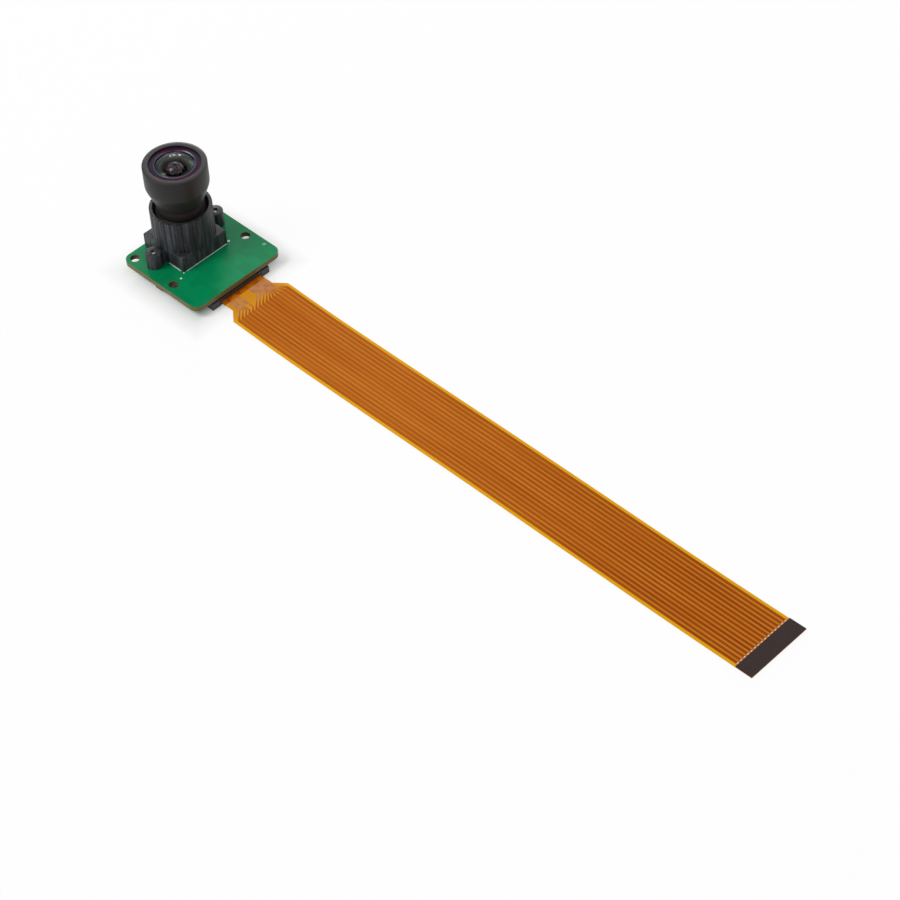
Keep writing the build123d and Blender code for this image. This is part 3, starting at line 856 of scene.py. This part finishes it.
# Second element: a glass with a small, strongly bulging front that reaches up through the spacer.
# It is opaque and dark, a painted shade, with small pink and purple patches painted on as glints.
second_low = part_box("second_element")[0].z
second_radius = 3.4 * mm
second_edge = second_low + 1.7 * mm
bulge_edge = 2.3 * mm
bulge_rise = 1.7 * mm
bulge_top = cone_foot + bulge_rise
bulge_radius = (bulge_edge**2 + bulge_rise**2) / (2 * bulge_rise)
bulge_steps = 12
outline = [
    (pole, second_low),
    (second_radius, second_low),
    (second_radius, second_edge),
    (bulge_edge, second_edge),
]
for step in range(bulge_steps):
    radius = bulge_edge * (1 - step / bulge_steps)
    outline.append((radius, bulge_top - bulge_radius + (bulge_radius**2 - radius**2) ** 0.5))
outline += [(pole, bulge_top), (pole, second_low)]
second_glass = close_up(turned(outline, "detailed_second_element", 64))
crease(second_glass, 30)
# Dark purple, a painted shade, with small pink patches painted on as glints.
second_glass_painted_dark, tree, shader = finish("painted_dark_second_glass", linear(30, 10, 26), 0.05, specular=0.3)
painted_pink_glints = [
    (0.48, linear(4, 1, 4)),
    (0.6, linear(40, 8, 30)),
    (0.76, linear(150, 64, 110)),
]
patched(tree, shader, 0.4 * mm, 2, painted_pink_glints)
second_glass.data.materials.append(second_glass_painted_dark)
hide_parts("second_element")
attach(second_glass, "lens_glasses")

# Rear element: coated glass at the foot of the barrel, just above the sensor. Its coating throws
# back pink light.
rear_tint = (1.0, 0.45, 0.85, 1)
rear_glass = clear_glass("coated_rear_glass", (0.85, 0.78, 0.88, 1), rear_tint, smear=0.015)
dress(rear_glass, "rear_element")

# Cable connector: a dark grey moulded housing under the front edge, soldered by its tabs and
# tails, with sprung contacts and a lock that slides out.
connector_plastic, tree, shader = finish("connector_plastic", linear(52, 52, 54), 0.5)
patched(tree, shader, 0.5 * mm, 3, [(0.3, linear(44, 44, 46)), (0.7, linear(62, 62, 64))])
bumped(tree, shader, noise(tree, object_point(tree), 0.08 * mm, 2), 0.2, 0.02 * mm)
dress(connector_plastic, "connector_housing", "connector_slider")
gold, tree, shader = finish("gold_plate", linear(226, 180, 100), 0.25, metal=1.0)
worn(tree, shader, 0.15 * mm, 0.15, 0.4)
dress(gold, "connector_contacts", "cable_head_contacts", "cable_end_contacts")
tin, tree, shader = finish("tin", linear(200, 205, 190), 0.35, metal=0.8)
worn(tree, shader, 0.1 * mm, 0.25, 0.5)
dress(tin, "connector_solder_tabs", "chip_terminals")

# Parts under the board: the clock's plated can, regulators, the inductor, and ceramic chip
# capacitors and resistors, all soldered flat to the board.
clock_lid, tree, shader = finish("clock_lid", linear(200, 198, 188), 0.35, metal=1.0)
worn(tree, shader, 0.3 * mm, 0.25, 0.45, stretch=(1, 6, 1))
dress(clock_lid, "oscillator")


def speckled(name, dark, light, size, roughness, specular=0.5):
    """Matt material whose colour runs between two shades in small specks."""
    material, tree, shader = finish(name, light, roughness, specular=specular)
    specks = noise(tree, object_point(tree), size, 3)
    colour_from(tree, shader, ramp(tree, specks, [(0.3, dark), (0.7, light)]))
    bumped(tree, shader, specks, 0.2, 0.02 * mm)
    return material


dress(
    speckled("regulator_black", linear(24, 24, 25), linear(40, 40, 42), 0.1 * mm, 0.6),
    "voltage_regulators",
)
dress(speckled("ferrite", linear(50, 48, 48), linear(78, 76, 74), 0.12 * mm, 0.7), "inductor")
dress(
    speckled("capacitor_tan", linear(150, 118, 88), linear(186, 152, 118), 0.1 * mm, 0.5),
    "capacitor_bodies",
)
dress(
    speckled("resistor_black", linear(18, 18, 20), linear(34, 34, 38), 0.1 * mm, 0.4),
    "resistor_bodies",
)

# Flat cable: amber film, 16 mm wide, with a narrow head that is plugged into the connector. It
# lies on the table in one gentle curve, and its far end turns up a little.
cable_route = [
    (-13.1, -1.225),
    (-20.9, -1.225),
    (-29.5, -1.62),
    (-40.0, -1.86),
    (-62.0, -1.83),
    (-90.0, -1.62),
    (-118.0, -1.70),
    (-145.0, -1.85),
    (-165.0, -1.45),
]
cable_width = 16.0 * mm
head_width = 11.5 * mm
cable_thickness = 0.15 * mm
neck_start = -10 * mm
neck_end = -19.6 * mm
shoulder_end = -22.2 * mm
past_end = -170 * mm
overlap = 0.01 * mm
margin_start = 7.35 * mm
band_end = -17.3 * mm
bend_end = -22.9 * mm
plan_floor = -4 * mm
plan_height = 6 * mm
curve = bpy.data.curves.new("cable_route", "CURVE")
curve.dimensions = "3D"
curve.resolution_u = 12
spline = curve.splines.new("NURBS")
spline.points.add(len(cable_route) - 1)
for control, (y, z) in zip(spline.points, cable_route):
    control.co = (0, y * mm, z * mm, 1)
spline.order_u = 3
spline.use_endpoint_u = True
route = bpy.data.objects.new("cable_route", curve)
scene.collection.objects.link(route)
bpy.context.view_layer.update()
route_mesh = bpy.data.meshes.new_from_object(route)
bpy.data.objects.remove(route)


def strip(mesh, name, lift):
    """Flat strip of the cable's full width along its route, raised by the lift."""
    piece = bpy.data.objects.new(name, mesh)
    scene.collection.objects.link(piece)
    bpy.ops.object.select_all(action="DESELECT")
    piece.select_set(True)
    bpy.context.view_layer.objects.active = piece
    edit_mode("VERT")
    bpy.ops.mesh.select_all(action="SELECT")
    bpy.ops.transform.translate(value=(-cable_width / 2, 0, lift))
    bpy.ops.mesh.extrude_region_move(TRANSFORM_OT_translate={"value": (cable_width, 0, 0)})
    close_up(piece)
    return piece


def ribbon(corners, name):
    """Upright prism over a level outline, given as rows of (left, right, y)."""
    left, right, y = corners[0]
    depth = y - corners[1][2]
    middle = ((left + right) / 2, y - depth / 2, plan_floor)
    bpy.ops.mesh.primitive_plane_add(size=1, location=middle)
    piece = bpy.context.object
    piece.name = name
    piece.scale = (right - left, depth, 1)
    place_in_mesh(piece)
    edit_mode("EDGE")
    for before, (left, right, y) in zip(corners, corners[1:]):
        if before is not corners[0]:
            last_y = before[2]
            pick("edges", lambda edge, middle, y=last_y: abs(middle.y - y) < touching)
            bpy.ops.mesh.extrude_region_move(
                TRANSFORM_OT_translate={"value": (0, y - last_y, 0)}
            )
        shape = bmesh.from_edit_mesh(piece.data)
        ends = sorted(
            (vertex for vertex in shape.verts if abs(vertex.co.y - y) < touching),
            key=lambda vertex: vertex.co.x,
        )
        ends[0].co.x, ends[-1].co.x = left, right
        bmesh.update_edit_mesh(piece.data)
    bpy.ops.mesh.select_mode(type="FACE")
    bpy.ops.mesh.select_all(action="SELECT")
    bpy.ops.mesh.extrude_region_move(TRANSFORM_OT_translate={"value": (0, 0, plan_height)})
    close_up(piece)
    return piece


cable = strip(route_mesh.copy(), "detailed_flex_cable", 0)
modify(cable, "SOLIDIFY", thickness=cable_thickness, offset=0)
plan = ribbon(
    [
        (-head_width / 2, head_width / 2, neck_start),
        (-head_width / 2, head_width / 2, neck_end),
        (-cable_width / 2 - overlap, cable_width / 2 + overlap, shoulder_end),
        (-cable_width / 2 - overlap, cable_width / 2 + overlap, past_end),
    ],
    "cable_plan",
)
cut(cable, plan, "INTERSECT")
film, tree, shader = finish("amber_film", linear(205, 125, 50), 0.35, specular=0.06)
point = object_point(tree)
place = parts_of(tree, point)
margin = maths(tree, "GREATER_THAN", maths(tree, "ABSOLUTE", place["X"]), margin_start)
sheen = noise(tree, object_point(tree, scale=(1, 0.15, 1)), 3 * mm, 2)
between = ramp(tree, sheen, [(0.3, linear(196, 108, 22)), (0.7, linear(210, 126, 36))])
head_zone = maths(tree, "GREATER_THAN", place["Y"], bend_end)
head_colour = mixed(tree, head_zone, between, linear(222, 148, 30))
margin_colour = mixed(tree, margin, head_colour, linear(232, 164, 8))
band = maths(tree, "GREATER_THAN", place["Y"], band_end)
band_patches = noise(tree, point, 1.6 * mm, 2)
band_shades = [(0.35, linear(160, 70, 4)), (0.65, linear(204, 112, 10))]
band_colour = ramp(tree, band_patches, band_shades)
colour_from(tree, shader, mixed(tree, band, margin_colour, band_colour))
roughened(tree, shader, sheen, 0.28, 0.42)
cable.data.materials.append(film)
crease(cable, 40)
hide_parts("flex_cable")
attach(cable, "module_base")

# Copper: fifteen wide traces under the film, which bend together at the head and run into two
# solid fields beside a bare wedge, and a row of tinned ends that show just before the far end.
copper_rise = 0.012 * mm
copper_depth = 0.03 * mm
trace_pitch = 1.0 * mm
trace_half = 0.31 * mm
head_half = 0.19 * mm
trace_end = -160.6 * mm
tinned_end = -160.9 * mm
tinned_half = 0.2 * mm
field_top = -17.3
fan_top = -20.2
# For each trace: its place across the head, the start of its bend, and any straight run's top.
head_bends = [
    (-4.75, -20.65, field_top),
    (-4.25, -21.15, field_top),
    (-3.75, -21.65, field_top),
    (-3.3, -22.2, field_top),
    (-2.1, -22.0, fan_top),
    (1.1, -19.8, None),
    (1.6, -20.3, None),
    (2.2, -20.7, None),
    (2.75, -21.1, fan_top),
    (3.2, -21.4, fan_top),
    (3.65, -21.6, fan_top),
    (4.1, -21.6, fan_top),
    (4.5, -21.5, fan_top),
    (4.9, -21.3, fan_top),
    (5.3, -21.0, fan_top),
]
middle_trace = len(head_bends) // 2
prisms = []
for index, (head_x, bend_start, top) in enumerate(head_bends):
    middle = (index - middle_trace) * trace_pitch
    head_left, head_right = head_x * mm - head_half, head_x * mm + head_half
    rows = [
        (head_left, head_right, bend_start * mm),
        (middle - trace_half, middle + trace_half, bend_end),
        (middle - trace_half, middle + trace_half, trace_end),
    ]
    if top is not None:
        rows.insert(0, (head_left, head_right, top * mm))
    prisms.append(ribbon(rows, "trace_plan"))
left_field = [(-2.75, -1.85, field_top), (-2.75, -1.85, -20.1), (-2.35, -1.85, -20.7)]
right_field = [(0.75, 5.5, field_top), (0.75, 5.5, -19.6), (1.9, 5.45, -20.3), (3.0, 5.3, -20.5)]
for field in (left_field, right_field):
    prisms.append(ribbon([tuple(part * mm for part in row) for row in field], "field_plan"))
copper_lift = cable_thickness / 2 + copper_rise - copper_depth / 2
traces = strip(route_mesh.copy(), "cable_traces", copper_lift)
modify(traces, "SOLIDIFY", thickness=copper_depth, offset=0)
plans = join(prisms, "plans")
modify(traces, "BOOLEAN", operation="INTERSECT", solver="EXACT", use_self=True, object=plans)
bpy.data.objects.remove(plans)


def along(tree, start, end):
    """Socket that runs from 0 to 1 along the cable, between two places on Y."""
    share = tree.nodes.new("ShaderNodeMapRange")
    share.inputs["From Min"].default_value = start
    share.inputs["From Max"].default_value = end
    tree.links.new(parts_of(tree, object_point(tree))["Y"], share.inputs["Value"])
    return share.outputs["Result"]


copper, tree, shader = finish("copper_under_film", linear(178, 98, 28), 0.33, specular=0.06)
long_patches = noise(tree, object_point(tree, scale=(1, 0.1, 1)), 2.2 * mm, 3)
near_colour = ramp(tree, long_patches, [(0.3, linear(168, 86, 4)), (0.7, linear(184, 100, 14))])
# Towards the far end the traces darken, a painted shade where their sheen falls off.
far_painted_shade_colour = ramp(tree, long_patches, [(0.3, linear(144, 66, 0)), (0.7, linear(160, 78, 2))])
trace_colour = mixed(tree, along(tree, -60 * mm, -150 * mm), near_colour, far_painted_shade_colour)
field_patches = noise(tree, object_point(tree), 1.2 * mm, 3)
field_colour = ramp(
    tree, field_patches, [(0.3, linear(190, 120, 68)), (0.7, linear(208, 146, 96))]
)
towards_head = along(tree, -22.4 * mm, -20.4 * mm)
colour_from(tree, shader, mixed(tree, towards_head, trace_colour, field_colour))
roughened(tree, shader, long_patches, 0.26, 0.4)
traces.data.materials.append(copper)
crease(traces, 40)
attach(traces, "module_base")

end_plans = []
for index in range(len(head_bends)):
    middle = (index - middle_trace) * trace_pitch
    left, right = middle - tinned_half, middle + tinned_half
    end_plans.append(ribbon([(left, right, trace_end), (left, right, tinned_end)], "end_plan"))
ends = strip(route_mesh.copy(), "cable_tinned_ends", cable_thickness / 2)
modify(ends, "SOLIDIFY", thickness=copper_depth * 1.5, offset=0)
cut(ends, join(end_plans, "end_plans"), "INTERSECT")
pale_tin, tree, shader = finish("pale_tin", linear(222, 192, 172), 0.5)
worn(tree, shader, 0.1 * mm, 0.4, 0.6)
ends.data.materials.append(pale_tin)
crease(ends, 40)
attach(ends, "module_base")

# Stiffeners: thick amber film glued under the cable's head, where it is plugged in, and a dark
# brown strip glued on top of its far end.
head_film, tree, shader = finish("head_stiffener_film", linear(170, 84, 10), 0.35, specular=0.2)
patched(tree, shader, 1.5 * mm, 2, [(0.3, linear(150, 70, 6)), (0.7, linear(190, 100, 16))])
dress(head_film, "cable_head_stiffener")
dress(
    speckled("end_stiffener_brown", linear(40, 28, 26), linear(54, 40, 38), 0.4 * mm, 0.6, 0.15),
    "cable_end_stiffener",
)
